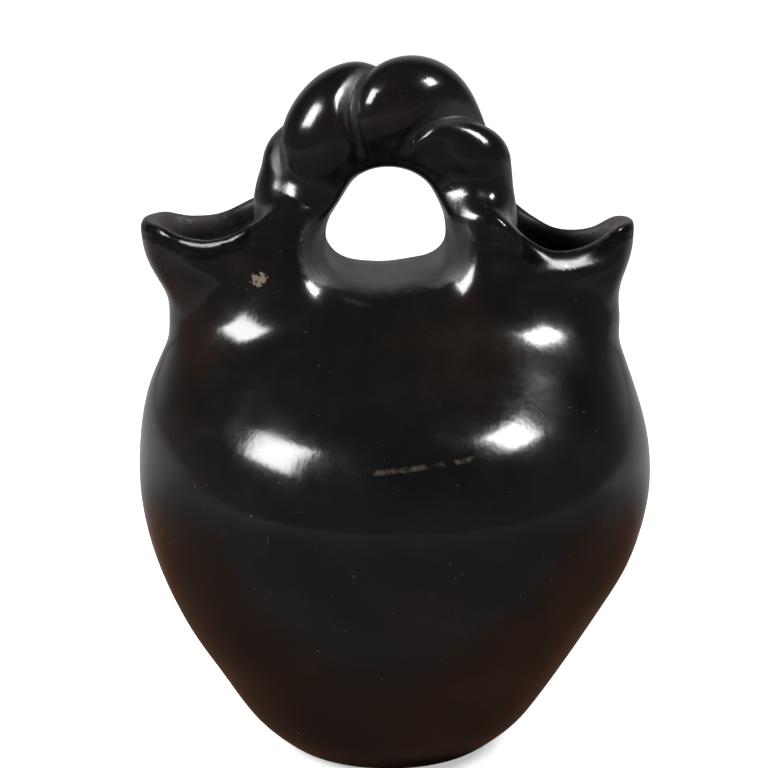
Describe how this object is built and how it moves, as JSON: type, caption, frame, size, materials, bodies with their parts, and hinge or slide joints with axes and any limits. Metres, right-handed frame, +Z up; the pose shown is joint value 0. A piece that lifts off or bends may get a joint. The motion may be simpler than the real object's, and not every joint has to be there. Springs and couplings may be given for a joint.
{
  "type": "double-spouted jar",
  "caption": "Coil-built black burnished clay jar with a round belly, two flared spouts and a twisted rope handle over a saddle.",
  "frame": {"origin": "on the surface that the jar stands on, under the middle of the belly", "axes": "+Z up; +X from the left spout to the right one; the front of the jar faces -Y"},
  "size_m": [0.171, 0.1682, 0.2381],
  "materials": {
    "burnished_clay": "burnished gloss",
    "satin_clay": "satin"
  },
  "bodies": {
    "root": {"base": "burnished_clay", "wall_coil_1": "burnished_clay", "wall_coil_2": "burnished_clay", "wall_coil_3": "burnished_clay", "wall_coil_4": "burnished_clay", "wall_coil_5": "burnished_clay", "wall_coil_6": "burnished_clay", "saddle": "satin_clay", "left_spout": "burnished_clay", "right_spout": "burnished_clay", "left_lip": "burnished_clay", "right_lip": "burnished_clay", "left_handle_root": "burnished_clay", "right_handle_root": "burnished_clay", "handle_strand_1": "burnished_clay", "handle_strand_2": "burnished_clay"}
  },
  "joints": []
}
